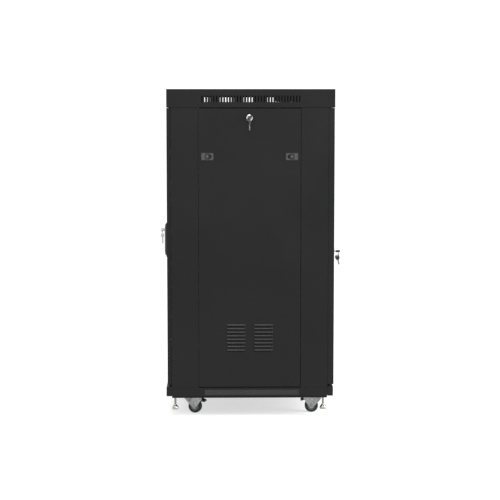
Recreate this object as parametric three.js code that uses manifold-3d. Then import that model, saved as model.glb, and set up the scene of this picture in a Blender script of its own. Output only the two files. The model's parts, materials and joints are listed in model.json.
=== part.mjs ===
// A floor-standing 22U network cabinet: 600 mm wide, 600 mm deep and 1183 mm high on its castors.
// Millimetres, +Z up, the front door faces -Y, the origin is on the floor under the middle.

import * as THREE from 'three';
import { mergeVertices } from 'three/addons/utils/BufferGeometryUtils.js';
import Module from 'manifold-3d';

const wasm = await Module();
wasm.setup();

// ---------------------------------------------------------------- driving dimensions

const SIDE_X = 298; // outer face of the posts and side panels
const SHEET = 3; // wall of every folded sheet
const GAP = 0.3; // clearance between parts that touch

const ROOF_HALF = 300;
const ROOF_TOP_Z = 1183;
const ROOF_SKIRT_Z = 1118;
const SLOT_COUNT = 34;
const SLOT_PITCH = 10.5;
const SLOT_WIDTH = 3.8;
const SLOT_BOTTOM_Z = 1137;
const SLOT_TOP_Z = 1160;
const CABLE_OPENING = { halfX: 100, fromY: -180, toY: -110 };

const FAN_X = 85;
const FAN_Y = 155;
const FAN_SIZE = 120;
const FAN_DEPTH = 38;
const FAN_BORE = 56;
const FAN_BLADES = 5;

const FRAME_TOP_Z = ROOF_SKIRT_Z - GAP;
const FRAME_BASE_Z = 111; // underside of the bottom beams' top plate
const FRONT_Y = -284.7; // front face of the posts
const REAR_Y = 276.5; // rear face of the posts
const POST_DEPTH = 97; // width of the post's side flange
const POST_RETURN_X = 262; // how far the post's rear return reaches inward
const POST_FACE_X = 270; // how far the post's door-side flange reaches inward
const BEAM_BOTTOM_Z = 80;
const FRONT_BEAM_Y = -304;
const REAR_BEAM_Y = 297;

const SKIRT_BOTTOM_Z = 80;
const LIP_BOTTOM_Z = 71; // stiffening lip behind each skirt
const LIP_X = [283, 286];
const TRAY_FLOOR_Z = 104;
const CHANNEL_HALF_X = 250;
const TRAY_OPENING = { halfX: 110, fromY: 60, toY: 160 };

const RAIL_FACE_FROM_X = 224; // clear of the 450 mm opening that 19-inch equipment needs
const RAIL_OUTER_X = POST_RETURN_X - GAP;
const FRONT_RAIL_Y = -235;
const REAR_RAIL_Y = 200;
const RAIL_BOTTOM_Z = 117;
const RAIL_TOP_Z = 1110;

const DOOR_BOTTOM_Z = 121.7;
const DOOR_TOP_Z = 1116.2;
const DOOR_HALF_X = 295.5;
const HINGE_X = -291;
const FRONT_DOOR_Y = -300;
const REAR_DOOR_Y = 299;
const DOOR_GAP = 0.6;
const HINGE_INSET = 6; // hinge axis to the door's inner face
const PIN_RADIUS = 3;
const WINDOW = { halfX: 215, fromZ: 200, toZ: 1038 };
const GLASS_OVERLAP = 14;

const HANDLE_X = 262;
const HANDLE_Z = 644.5;
const HANDLE_LENGTH = 121.5;
const HANDLE_WIDTH = 27;
const SPINDLE_Z = HANDLE_Z - HANDLE_LENGTH / 2 + 18;
const FRONT_KEY_Z = 680;
const REAR_LOCK_Z = 601.5;

const PANEL_Y = -4.5; // middle of the side panels
const PANEL_HALF = 182.4;
const PANEL_BOTTOM_Z = 113.5;
const PANEL_TOP_Z = 1114.3;
const PANEL_RIM = 10;
const PANEL_LOCK_Z = 1081;
const LATCH_OFFSET = 150.5;
const LATCH_Z = 943.7;
const LATCH_TRAVEL = 8;
const LOUVRE_ROWS = 8;
const LOUVRE_PITCH = 13;
const LOUVRE_LENGTH = 64;
const LOUVRE_MIDDLE = 49; // middle of each column from the panel's centre line
const LOUVRE_BOTTOM_Z = 245;

const CASTOR_X = 200;
const CASTOR_FRONT_Y = -219;
const CASTOR_REAR_Y = 242;
const CASTOR_PLATE_Z = 72;
const CASTOR_TRAIL = 17;
const WHEEL_RADIUS = 25;
const WHEEL_WIDTH = 19;
const WHEEL_SIDES = 20;
const AXLE_Z = WHEEL_RADIUS * Math.cos(Math.PI / WHEEL_SIDES); // the wheel rests on one flat
const CHEEK_INNER = 11;
const CHEEK_OUTER = 13.5;

const FOOT_X = 268;
const FOOT_FRONT_Y = -273.5;
const FOOT_REAR_Y = 263;
const FOOT_BOTTOM_Z = 26;
const STUD_RADIUS = 4;

const KEY_REACH = 24.5; // lock face to the outer end of an inserted key

// ---------------------------------------------------------------- solids from geometries

function solidFrom(geometry) {
  const bare = geometry.clone();
  bare.deleteAttribute('normal');
  bare.deleteAttribute('uv');
  const merged = mergeVertices(bare, 1e-4);
  const vertProperties = Float32Array.from(merged.attributes.position.array);
  const triVerts = Uint32Array.from(merged.index.array);
  return new wasm.Manifold(new wasm.Mesh({ numProp: 3, vertProperties, triVerts }));
}

function geometryFrom(solid) {
  const mesh = solid.getMesh();
  const geometry = new THREE.BufferGeometry();
  const corners = Float32Array.from(mesh.vertProperties);
  geometry.setAttribute('position', new THREE.BufferAttribute(corners, 3));
  geometry.setIndex(new THREE.BufferAttribute(Uint32Array.from(mesh.triVerts), 1));
  geometry.computeVertexNormals();
  return geometry;
}

function box([x0, x1], [y0, y1], [z0, z1]) {
  const geometry = new THREE.BoxGeometry(x1 - x0, y1 - y0, z1 - z0);
  geometry.translate((x0 + x1) / 2, (y0 + y1) / 2, (z0 + z1) / 2);
  return solidFrom(geometry);
}

function extruded(points, length) {
  const shape = new THREE.Shape(points.map(([a, b]) => new THREE.Vector2(a, b)));
  return new THREE.ExtrudeGeometry(shape, { depth: length, bevelEnabled: false });
}

// An outline of (x, y) points, raised from z0 to z1.
function alongZ(points, z0, z1) {
  return solidFrom(extruded(points, z1 - z0).translate(0, 0, z0));
}

// An outline of (y, z) points, drawn out from x0 to x1.
function alongX(points, x0, x1) {
  const turn = new THREE.Matrix4().makeBasis(
    new THREE.Vector3(0, 1, 0),
    new THREE.Vector3(0, 0, 1),
    new THREE.Vector3(1, 0, 0),
  );
  return solidFrom(extruded(points, x1 - x0).applyMatrix4(turn).translate(x0, 0, 0));
}

// An outline of (z, x) points, drawn out from y0 to y1.
function alongY(points, y0, y1) {
  const turn = new THREE.Matrix4().makeBasis(
    new THREE.Vector3(0, 0, 1),
    new THREE.Vector3(1, 0, 0),
    new THREE.Vector3(0, 1, 0),
  );
  return solidFrom(extruded(points, y1 - y0).applyMatrix4(turn).translate(0, y0, 0));
}

function cylinderZ(radius, [x, y], [z0, z1], sides = 16) {
  const geometry = new THREE.CylinderGeometry(radius, radius, z1 - z0, sides);
  return solidFrom(geometry.rotateX(Math.PI / 2).translate(x, y, (z0 + z1) / 2));
}

function cylinderX(radius, [x0, x1], [y, z], sides = 16) {
  const geometry = new THREE.CylinderGeometry(radius, radius, x1 - x0, sides);
  return solidFrom(geometry.rotateZ(Math.PI / 2).translate((x0 + x1) / 2, y, z));
}

function cylinderY(radius, [x, z], [y0, y1], sides = 16) {
  const geometry = new THREE.CylinderGeometry(radius, radius, y1 - y0, sides);
  return solidFrom(geometry.translate(x, (y0 + y1) / 2, z));
}

function join(...solids) {
  return solids.reduce((sum, solid) => sum.add(solid));
}

function cut(solid, ...tools) {
  return tools.reduce((rest, tool) => rest.subtract(tool), solid);
}

// The range from a to b on the side that sign gives, in rising order.
function onSide(sign, a, b) {
  return sign > 0 ? [a, b] : [-b, -a];
}

// The range from a to b, in rising order.
function rising(a, b) {
  return a < b ? [a, b] : [b, a];
}

function turnedX(solid, angle) {
  return solidFrom(geometryFrom(solid).rotateX(angle));
}

// ---------------------------------------------------------------- materials

function powderCoat() {
  return new THREE.MeshStandardMaterial({ color: 0x1d1d1f, roughness: 0.55, metalness: 0.1 });
}

function zincPlate() {
  return new THREE.MeshStandardMaterial({ color: 0xa9adb0, roughness: 0.35, metalness: 0.9 });
}

function chrome() {
  return new THREE.MeshStandardMaterial({ color: 0xd8dadc, roughness: 0.15, metalness: 1 });
}

function blackPlastic() {
  return new THREE.MeshStandardMaterial({ color: 0x121214, roughness: 0.5, metalness: 0 });
}

function tintedGlass() {
  return new THREE.MeshStandardMaterial({ color: 0x2a2d30, roughness: 0.05, metalness: 0 });
}

function rubber() {
  return new THREE.MeshStandardMaterial({ color: 0x161616, roughness: 0.8, metalness: 0 });
}

const cabinet = new THREE.Group();

function addPiece(parent, name, solid, material, [x, y, z] = [0, 0, 0], turn = 0) {
  const mesh = new THREE.Mesh(geometryFrom(solid), material);
  mesh.name = name;
  mesh.position.set(x, y, z);
  mesh.rotation.z = turn;
  parent.add(mesh);
  return mesh;
}

// ---------------------------------------------------------------- welded frames

// One post: a side flange, a flange behind the door and a return beside the side panel.
function post(side, faceY, inward) {
  const heights = [FRAME_BASE_Z, FRAME_TOP_Z];
  const sideFlange = box(
    onSide(side, SIDE_X - SHEET, SIDE_X),
    rising(faceY, faceY + inward * POST_DEPTH),
    heights,
  );
  const doorFlange = box(
    onSide(side, POST_FACE_X, SIDE_X),
    rising(faceY, faceY + inward * SHEET),
    heights,
  );
  const panelReturn = box(
    onSide(side, POST_RETURN_X, SIDE_X),
    rising(faceY + inward * (POST_DEPTH - SHEET), faceY + inward * POST_DEPTH),
    heights,
  );
  const boltNotch = box(
    onSide(side, 278, 287),
    rising(faceY + inward * (POST_DEPTH - SHEET - 1), faceY + inward * (POST_DEPTH + 1)),
    [LATCH_Z - 11, LATCH_Z + 11],
  );
  return cut(join(sideFlange, doorFlange, panelReturn), boltNotch);
}

function topBeam(faceY, inward) {
  const width = [-SIDE_X, SIDE_X];
  const plate = box(width, rising(faceY, faceY + inward * 45), [FRAME_TOP_Z - SHEET, FRAME_TOP_Z]);
  const lip = box(width, rising(faceY, faceY + inward * SHEET), [FRAME_TOP_Z - 30, FRAME_TOP_Z]);
  return join(plate, lip);
}

function bottomBeam(faceY, inward, noseY) {
  const width = [-SIDE_X, SIDE_X];
  const topZ = FRAME_BASE_Z + SHEET;
  const plate = box(width, rising(noseY, faceY + inward * 45), [FRAME_BASE_Z, topZ]);
  const nose = box(width, rising(noseY, noseY + inward * SHEET), [BEAM_BOTTOM_Z, topZ]);
  const capDepth = rising(noseY, faceY - inward * DOOR_GAP);
  const rightCap = box([SIDE_X - SHEET, SIDE_X], capDepth, [BEAM_BOTTOM_Z, topZ]);
  const leftCap = box([-SIDE_X, SHEET - SIDE_X], capDepth, [BEAM_BOTTOM_Z, topZ]);
  return join(plate, nose, rightCap, leftCap);
}

// The lug above the door that takes the upper hinge pin, inside the roof's skirt.
function hingeLug(faceY, inward, axisY) {
  const width = [-ROOF_HALF + SHEET + GAP, -POST_FACE_X];
  const lugZ = [ROOF_SKIRT_Z + 0.4, ROOF_SKIRT_Z + 3.4];
  const shelf = box(width, rising(axisY - inward * 5.3, faceY + inward * SHEET), lugZ);
  const web = box(width, rising(faceY, faceY + inward * SHEET), [FRAME_TOP_Z - 10, lugZ[1]]);
  return join(shelf, web);
}

function weldedFrame(faceY, inward, noseY, axisY) {
  const frame = join(
    post(1, faceY, inward),
    post(-1, faceY, inward),
    topBeam(faceY, inward),
    bottomBeam(faceY, inward, noseY),
    hingeLug(faceY, inward, axisY),
  );
  const pinHoleRadius = PIN_RADIUS + 0.4;
  const lowerHole = cylinderZ(pinHoleRadius, [HINGE_X, axisY], [FRAME_BASE_Z - 1, FRAME_BASE_Z + 5]);
  const upperHole = cylinderZ(pinHoleRadius, [HINGE_X, axisY], [ROOF_SKIRT_Z, ROOF_SKIRT_Z + 5]);
  return cut(frame, lowerHole, upperHole);
}

const frontDoorInnerY = FRONT_Y - DOOR_GAP;
const rearDoorInnerY = REAR_Y + DOOR_GAP;
const frontHingeY = frontDoorInnerY - HINGE_INSET;
const rearHingeY = rearDoorInnerY + HINGE_INSET;

addPiece(cabinet, 'front_frame', weldedFrame(FRONT_Y, 1, FRONT_BEAM_Y, frontHingeY), powderCoat());
addPiece(cabinet, 'rear_frame', weldedFrame(REAR_Y, -1, REAR_BEAM_Y, rearHingeY), powderCoat());

// ---------------------------------------------------------------- roof and base

function roofCover() {
  const outer = [-ROOF_HALF, ROOF_HALF];
  const inner = [-ROOF_HALF + SHEET, ROOF_HALF - SHEET];
  const shell = box(outer, outer, [ROOF_SKIRT_Z, ROOF_TOP_Z]);
  const hollow = box(inner, inner, [ROOF_SKIRT_Z - 1, ROOF_TOP_Z - SHEET]);
  const slots = [];
  for (let i = 0; i < SLOT_COUNT; i += 1) {
    const y = (i - (SLOT_COUNT - 1) / 2) * SLOT_PITCH;
    const across = [-ROOF_HALF - 1, ROOF_HALF + 1];
    slots.push(box(across, [y - SLOT_WIDTH / 2, y + SLOT_WIDTH / 2], [SLOT_BOTTOM_Z, SLOT_TOP_Z]));
  }
  const throughTop = [ROOF_TOP_Z - SHEET - 1, ROOF_TOP_Z + 1];
  const fanOpenings = [-FAN_X, FAN_X].map((x) => cylinderZ(FAN_BORE - 2, [x, FAN_Y], throughTop, 28));
  const { halfX, fromY, toY } = CABLE_OPENING;
  const cableOpening = box([-halfX, halfX], [fromY, toY], throughTop);
  return cut(shell, hollow, ...slots, ...fanOpenings, cableOpening);
}

function coverPlate({ halfX, fromY, toY }, z) {
  const lap = 12;
  return box([-halfX - lap, halfX + lap], [fromY - lap, toY + lap], [z, z + 2]);
}

function baseTray() {
  const halfX = SIDE_X - SHEET;
  const depth = [FRONT_Y + GAP, REAR_Y - GAP];
  const skirtTop = FRAME_BASE_Z - GAP;
  const floor = box([-halfX - 1, halfX + 1], depth, [TRAY_FLOOR_Z, TRAY_FLOOR_Z + SHEET]);
  const skirts = [1, -1].map((side) => {
    return box(onSide(side, halfX, SIDE_X), depth, [SKIRT_BOTTOM_Z, skirtTop]);
  });
  const lips = [1, -1].map((side) => {
    return box(onSide(side, ...LIP_X), depth, [LIP_BOTTOM_Z, TRAY_FLOOR_Z + 1]);
  });
  const channels = [CASTOR_FRONT_Y, CASTOR_REAR_Y].map((y) => {
    const width = [-CHANNEL_HALF_X, CHANNEL_HALF_X];
    const outside = box(width, [y - 34, y + 34], [CASTOR_PLATE_Z + GAP, TRAY_FLOOR_Z + 1]);
    const wall = { y: 34 - SHEET, z: CASTOR_PLATE_Z + GAP + SHEET };
    const inside = box([width[0] - 1, width[1] + 1], [y - wall.y, y + wall.y], [wall.z, TRAY_FLOOR_Z]);
    return cut(outside, inside);
  });
  const studs = [FOOT_X, -FOOT_X].flatMap((x) => [FOOT_FRONT_Y, FOOT_REAR_Y].map((y) => [x, y]));
  const bosses = studs.map(([x, y]) => {
    return box([x - 10, x + 10], [y - 10, y + 10], [SKIRT_BOTTOM_Z - 2, TRAY_FLOOR_Z + 1]);
  });
  const studHoles = studs.map((at) => {
    return cylinderZ(STUD_RADIUS + 0.5, at, [LIP_BOTTOM_Z, TRAY_FLOOR_Z + 5]);
  });
  const opening = box(
    [-TRAY_OPENING.halfX, TRAY_OPENING.halfX],
    [TRAY_OPENING.fromY, TRAY_OPENING.toY],
    [TRAY_FLOOR_Z - 1, TRAY_FLOOR_Z + 5],
  );
  const body = join(floor, ...skirts, ...lips, ...channels, ...bosses);
  return cut(body, opening, ...studHoles);
}

addPiece(cabinet, 'roof_cover', roofCover(), powderCoat());
addPiece(
  cabinet,
  'roof_cable_cover',
  coverPlate(CABLE_OPENING, ROOF_TOP_Z - SHEET - GAP - 2),
  powderCoat(),
);
addPiece(cabinet, 'base_tray', baseTray(), powderCoat());
addPiece(
  cabinet,
  'base_cable_cover',
  coverPlate(TRAY_OPENING, TRAY_FLOOR_Z + SHEET + GAP),
  powderCoat(),
);

// ---------------------------------------------------------------- rails

// A folded rail beside the panels: web on the inside, lip on the outside, opening down or up.
function depthRail(side, isTop) {
  const run = [FRONT_Y + POST_DEPTH + GAP, REAR_Y - POST_DEPTH - GAP];
  const edge = isTop ? 1114.4 : FRAME_BASE_Z + 5;
  const away = isTop ? -1 : 1;
  const web = box(onSide(side, 262, 265), run, rising(edge, edge + away * 30));
  const flat = box(onSide(side, 262, 284), run, rising(edge, edge + away * SHEET));
  const lip = box(onSide(side, 281, 284), run, rising(edge, edge + away * 22));
  return join(web, flat, lip);
}

function rackRail(side, faceY, inward) {
  const heights = [RAIL_BOTTOM_Z, RAIL_TOP_Z];
  const face = box(
    onSide(side, RAIL_FACE_FROM_X, RAIL_OUTER_X),
    rising(faceY, faceY + inward * SHEET),
    heights,
  );
  const leg = box(
    onSide(side, RAIL_OUTER_X - SHEET, RAIL_OUTER_X),
    rising(faceY, faceY + inward * 70),
    heights,
  );
  return join(face, leg);
}

for (const [sideName, side] of [['right', 1], ['left', -1]]) {
  addPiece(cabinet, `front_rack_rail_${sideName}`, rackRail(side, FRONT_RAIL_Y, 1), zincPlate());
  addPiece(cabinet, `rear_rack_rail_${sideName}`, rackRail(side, REAR_RAIL_Y, -1), zincPlate());
  addPiece(cabinet, `upper_depth_rail_${sideName}`, depthRail(side, true), powderCoat());
  addPiece(cabinet, `lower_depth_rail_${sideName}`, depthRail(side, false), powderCoat());
}

// ---------------------------------------------------------------- roof fans

function fanHousing() {
  const half = FAN_SIZE / 2;
  const block = box([-half, half], [-half, half], [0, FAN_DEPTH]);
  const bore = cylinderZ(FAN_BORE, [0, 0], [-1, FAN_DEPTH + 1], 28);
  const motorCup = cylinderZ(19, [0, 0], [0, 6], 16);
  const strutX = box([-half + 2, half - 2], [-3, 3], [0, 4]);
  const strutY = box([-3, 3], [-half + 2, half - 2], [0, 4]);
  return join(cut(block, bore), motorCup, strutX, strutY);
}

function fanRotor() {
  const hub = cylinderZ(20, [0, 0], [7, 30], 16);
  const blades = [];
  for (let i = 0; i < FAN_BLADES; i += 1) {
    const blade = new THREE.BoxGeometry(34, 24, 2);
    blade.rotateX(Math.PI / 4.5);
    blade.translate(36, 0, 19);
    blade.rotateZ((2 * Math.PI * i) / FAN_BLADES);
    blades.push(solidFrom(blade));
  }
  return join(hub, ...blades);
}

const fanTopZ = ROOF_TOP_Z - SHEET - GAP;
for (const [sideName, side] of [['right', 1], ['left', -1]]) {
  const place = [side * FAN_X, FAN_Y, fanTopZ - FAN_DEPTH];
  addPiece(cabinet, `fan_housing_${sideName}`, fanHousing(), blackPlastic(), place);
  addPiece(cabinet, `fan_rotor_${sideName}`, fanRotor(), blackPlastic(), place);
}

// ---------------------------------------------------------------- locks and keys
// A lock is drawn with its axis along X, facing +X, and with x = 0 on the face of its sheet.

const BARREL_RADIUS = 8;
const PLUG_RADIUS = 5;
const KEY_BLADE = { width: 7, thickness: 1.8 };

function lockBarrel(depth) {
  const body = cylinderX(BARREL_RADIUS, [-depth, 2], [0, 0], 12);
  const head = cylinderX(11.5, [GAP, 3.3], [0, 0], 16);
  const bore = cylinderX(PLUG_RADIUS + 0.4, [-depth - 1, 4], [0, 0], 12);
  return cut(join(body, head), bore);
}

// The plug and its tongue, which turn together. The key slot lies at the angle keyTilt.
function lockCam(depth, tongueAngle, keyTilt) {
  const backX = -depth - SHEET - GAP;
  const plug = cylinderX(PLUG_RADIUS, [backX, 2.9], [0, 0], 12);
  const tongue = turnedX(box([backX, backX + SHEET], [-6, 6], [0, 20]), tongueAngle);
  const slot = box([-8, 4], [-KEY_BLADE.width / 2 - 0.4, KEY_BLADE.width / 2 + 0.4], [-1.3, 1.3]);
  return cut(join(plug, tongue), turnedX(slot, keyTilt));
}

function lockKey(keyTilt) {
  const { width, thickness } = KEY_BLADE;
  const blade = box([-7, 6], [-width / 2, width / 2], [-thickness / 2, thickness / 2]);
  const collar = box([3.7, 9], [-4.5, 4.5], [-2.5, 2.5]);
  const bow = new THREE.CylinderGeometry(1, 1, 7, 20);
  bow.rotateX(Math.PI / 2);
  bow.scale(8.5, 11, 1);
  bow.translate(KEY_REACH - 8.5, 0, 0);
  return turnedX(join(blade, collar, solidFrom(bow)), keyTilt);
}

// ---------------------------------------------------------------- front door

const DOOR_SHEET = 2;

// A folded door pan with its two hinge pins. The hinge-side edge is chamfered to swing clear.
function doorPan(outerY, innerY, axisY) {
  const outward = Math.sign(outerY - innerY);
  const heights = [DOOR_BOTTOM_Z, DOOR_TOP_Z];
  const shell = box([-DOOR_HALF_X, DOOR_HALF_X], rising(outerY, innerY), heights);
  const hollow = box(
    [-DOOR_HALF_X + DOOR_SHEET, DOOR_HALF_X - DOOR_SHEET],
    rising(outerY - outward * DOOR_SHEET, innerY - outward),
    [DOOR_BOTTOM_Z + DOOR_SHEET, DOOR_TOP_Z - DOOR_SHEET],
  );
  const chamfer = alongZ(
    [
      [-DOOR_HALF_X - 1, innerY + outward * 4],
      [-DOOR_HALF_X + 3, innerY],
      [-DOOR_HALF_X + 3, innerY - outward],
      [-DOOR_HALF_X - 1, innerY - outward],
    ],
    DOOR_BOTTOM_Z - 1,
    DOOR_TOP_Z + 1,
  );
  const lowerPin = cylinderZ(PIN_RADIUS, [HINGE_X, axisY], [FRAME_BASE_Z + 0.5, DOOR_BOTTOM_Z + 8], 12);
  const upperPin = cylinderZ(PIN_RADIUS, [HINGE_X, axisY], [DOOR_TOP_Z - 8, ROOF_SKIRT_Z + 3], 12);
  return join(cut(shell, hollow, chamfer), lowerPin, upperPin);
}

const frontDoor = new THREE.Group();
cabinet.add(frontDoor);

const skinY = [FRONT_DOOR_Y - 1, FRONT_DOOR_Y + DOOR_SHEET + 1];
const windowOpening = box([-WINDOW.halfX, WINDOW.halfX], skinY, [WINDOW.fromZ, WINDOW.toZ]);
const spindleHole = cylinderY(PLUG_RADIUS + 1, [HANDLE_X, SPINDLE_Z], skinY);
const frontDoorFrame = cut(
  doorPan(FRONT_DOOR_Y, frontDoorInnerY, frontHingeY),
  windowOpening,
  spindleHole,
);
addPiece(frontDoor, 'front_door_frame', frontDoorFrame, powderCoat());

const glassY = FRONT_DOOR_Y + DOOR_SHEET + GAP;
const glassPane = box(
  [-WINDOW.halfX - GLASS_OVERLAP, WINDOW.halfX + GLASS_OVERLAP],
  [glassY, glassY + 4],
  [WINDOW.fromZ - GLASS_OVERLAP, WINDOW.toZ + GLASS_OVERLAP],
);
addPiece(frontDoor, 'front_door_glass', glassPane, tintedGlass());

// ---------------------------------------------------------------- swing handle

const handleX = [HANDLE_X - HANDLE_WIDTH / 2, HANDLE_X + HANDLE_WIDTH / 2];
const baseFaceY = FRONT_DOOR_Y - 3.3;
const leverY = [FRONT_DOOR_Y - 9, baseFaceY - 0.5];
const leverFootZ = SPINDLE_Z - 12;
const headY = [baseFaceY - 2.3, baseFaceY - GAP];

function handleBase() {
  const heights = [HANDLE_Z - HANDLE_LENGTH / 2, HANDLE_Z + HANDLE_LENGTH / 2];
  const plate = box(handleX, [baseFaceY, FRONT_DOOR_Y - GAP], heights);
  const hole = cylinderY(PLUG_RADIUS + 1, [HANDLE_X, SPINDLE_Z], [baseFaceY - 1, FRONT_DOOR_Y + 1]);
  return cut(plate, hole);
}

// Spindle, round head under the lever and the tongue that hooks behind the post.
function handleSpindle() {
  const tongueY = FRONT_Y + SHEET + GAP;
  const centre = [HANDLE_X, SPINDLE_Z];
  const shaft = cylinderY(PLUG_RADIUS, centre, [headY[0], tongueY + SHEET]);
  const head = cylinderY(10, centre, headY, 20);
  const tongueZ = [SPINDLE_Z - 6, SPINDLE_Z + 6];
  const tongue = box([HANDLE_X, HANDLE_X + 23], [tongueY, tongueY + SHEET], tongueZ);
  return join(shaft, head, tongue);
}

function handleLever() {
  const topZ = HANDLE_Z + HANDLE_LENGTH / 2 - 3;
  const [outerY, innerY] = leverY;
  const sideOutline = [
    [innerY, leverFootZ],
    [innerY, topZ],
    [outerY + 2.5, topZ],
    [outerY, topZ - 14],
    [outerY, leverFootZ + 14],
    [outerY + 2.5, leverFootZ],
  ];
  const bar = alongX(sideOutline, handleX[0] + 2, handleX[1] - 2);
  const pocketY = [headY[0] - 0.5, innerY + 1];
  const headPocket = cylinderY(10.6, [HANDLE_X, SPINDLE_Z], pocketY, 20);
  const keyPocket = cylinderY(4.2, [HANDLE_X, FRONT_KEY_Z], [outerY - 1, outerY + 3.8], 12);
  return cut(bar, headPocket, keyPocket);
}

// A flat metal key: short blade in the lever, neck and round bow.
function frontKey() {
  const faceY = leverY[0];
  const tipY = FRONT_DOOR_Y - 23.5;
  const bowRadius = 7;
  const bowAt = [tipY + bowRadius, FRONT_KEY_Z];
  const bow = cylinderX(bowRadius, [HANDLE_X - 1, HANDLE_X + 1], bowAt, 16);
  const neckZ = [FRONT_KEY_Z - 3.2, FRONT_KEY_Z + 3.2];
  const neck = box([HANDLE_X - 1, HANDLE_X + 1], [faceY - 4, faceY + 3], neckZ);
  return join(bow, neck);
}

addPiece(frontDoor, 'front_handle_base', handleBase(), blackPlastic());
addPiece(frontDoor, 'front_handle_spindle', handleSpindle(), zincPlate());
addPiece(frontDoor, 'front_handle_lever', handleLever(), chrome());
addPiece(frontDoor, 'front_door_key', frontKey(), chrome());

// ---------------------------------------------------------------- rear door

const rearDoor = new THREE.Group();
cabinet.add(rearDoor);

const QUARTER = Math.PI / 2;
const REAR_BARREL_DEPTH = 25.5;
const barrelHole = cylinderY(
  BARREL_RADIUS + 0.4,
  [HANDLE_X, REAR_LOCK_Z],
  [REAR_DOOR_Y - DOOR_SHEET - 1, REAR_DOOR_Y + 1],
  20,
);
const rearPan = cut(doorPan(REAR_DOOR_Y, rearDoorInnerY, rearHingeY), barrelHole);
addPiece(rearDoor, 'rear_door_panel', rearPan, powderCoat());

const rearLockPlace = [HANDLE_X, REAR_DOOR_Y, REAR_LOCK_Z];
addPiece(rearDoor, 'rear_lock_barrel', lockBarrel(REAR_BARREL_DEPTH), chrome(), rearLockPlace, QUARTER);
addPiece(
  rearDoor,
  'rear_lock_cam',
  lockCam(REAR_BARREL_DEPTH, QUARTER, 0),
  zincPlate(),
  rearLockPlace,
  QUARTER,
);
addPiece(rearDoor, 'rear_lock_key', lockKey(0), blackPlastic(), rearLockPlace, QUARTER);

// ---------------------------------------------------------------- side panels

const SIDE_BARREL_DEPTH = 18;
const SIDE_KEY_TILT = Math.PI / 4;
const STEM_RADIUS = 3;

// A folded pan with louvre slots, a lock hole and a short slot for each slide latch.
function sidePanel() {
  const heights = [PANEL_BOTTOM_Z, PANEL_TOP_Z];
  const shell = box([SIDE_X - PANEL_RIM, SIDE_X], [-PANEL_HALF, PANEL_HALF], heights);
  const hollow = box(
    [SIDE_X - PANEL_RIM - 1, SIDE_X - SHEET],
    [-PANEL_HALF + SHEET, PANEL_HALF - SHEET],
    [PANEL_BOTTOM_Z + SHEET, PANEL_TOP_Z - SHEET],
  );
  const throughSheet = [SIDE_X - SHEET - 1, SIDE_X + 1];
  const lockHole = cylinderX(BARREL_RADIUS + 0.4, throughSheet, [0, PANEL_LOCK_Z], 20);
  const halfStem = STEM_RADIUS + 0.5;
  const latchSlots = [1, -1].map((side) => {
    const run = onSide(side, LATCH_OFFSET - LATCH_TRAVEL - halfStem, LATCH_OFFSET + halfStem);
    return box(throughSheet, run, [LATCH_Z - halfStem, LATCH_Z + halfStem]);
  });
  const louvres = [];
  for (let row = 0; row < LOUVRE_ROWS; row += 1) {
    for (const side of [1, -1]) {
      const z = LOUVRE_BOTTOM_Z + row * LOUVRE_PITCH;
      const run = onSide(side, LOUVRE_MIDDLE - LOUVRE_LENGTH / 2, LOUVRE_MIDDLE + LOUVRE_LENGTH / 2);
      louvres.push(box(throughSheet, run, [z - 2, z + 2]));
    }
  }
  return cut(shell, hollow, lockHole, ...latchSlots, ...louvres);
}

// Knob, stem and bolt of one slide latch. The bolt points toward the panel's edge.
function slideLatch(side) {
  const stemX = [SIDE_X - 15, SIDE_X + 1];
  const knob = cylinderX(5.5, [SIDE_X + GAP, SIDE_X + 5], [side * LATCH_OFFSET, LATCH_Z], 16);
  const stem = cylinderX(STEM_RADIUS, stemX, [side * LATCH_OFFSET, LATCH_Z], 12);
  const bolt = box([SIDE_X - 17.5, SIDE_X - 13.5], onSide(side, 135, 189.4), [LATCH_Z - 9, LATCH_Z + 9]);
  return join(knob, stem, bolt);
}

for (const [sideName, turn] of [['right', 0], ['left', Math.PI]]) {
  const panel = new THREE.Group();
  panel.position.y = PANEL_Y;
  panel.rotation.z = turn;
  cabinet.add(panel);
  const lockPlace = [SIDE_X, 0, PANEL_LOCK_Z];
  addPiece(panel, `side_panel_${sideName}`, sidePanel(), powderCoat());
  addPiece(panel, `side_lock_barrel_${sideName}`, lockBarrel(SIDE_BARREL_DEPTH), chrome(), lockPlace);
  addPiece(
    panel,
    `side_lock_cam_${sideName}`,
    lockCam(SIDE_BARREL_DEPTH, 0, SIDE_KEY_TILT),
    zincPlate(),
    lockPlace,
  );
  addPiece(panel, `side_lock_key_${sideName}`, lockKey(SIDE_KEY_TILT), blackPlastic(), lockPlace);
  const frontSide = turn === 0 ? -1 : 1;
  addPiece(panel, `slide_latch_front_${sideName}`, slideLatch(frontSide), zincPlate());
  addPiece(panel, `slide_latch_rear_${sideName}`, slideLatch(-frontSide), zincPlate());
}

// ---------------------------------------------------------------- castors
// A castor is drawn with its kingpin on the Z axis and its wheel trailing toward +X.

const PLATE_HALF = { x: 37, y: 29 };
const FORK_PLATE_Z = [58, 61.2];
const CHEEK_FROM_S = -20;
const CHEEK_TO_S = 46;

function castorPlate() {
  const plate = box(
    [-PLATE_HALF.x, PLATE_HALF.x],
    [-PLATE_HALF.y, PLATE_HALF.y],
    [CASTOR_PLATE_Z - 2.5, CASTOR_PLATE_Z],
  );
  const raceway = cylinderZ(20, [0, 0], [FORK_PLATE_Z[1] + GAP, CASTOR_PLATE_Z - 1], 16);
  const kingpin = cylinderZ(5, [0, 0], [54.3, CASTOR_PLATE_Z - 1], 12);
  const head = cylinderZ(7, [0, 0], [54.3, FORK_PLATE_Z[0] - 0.4], 12);
  return join(plate, raceway, kingpin, head);
}

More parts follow.
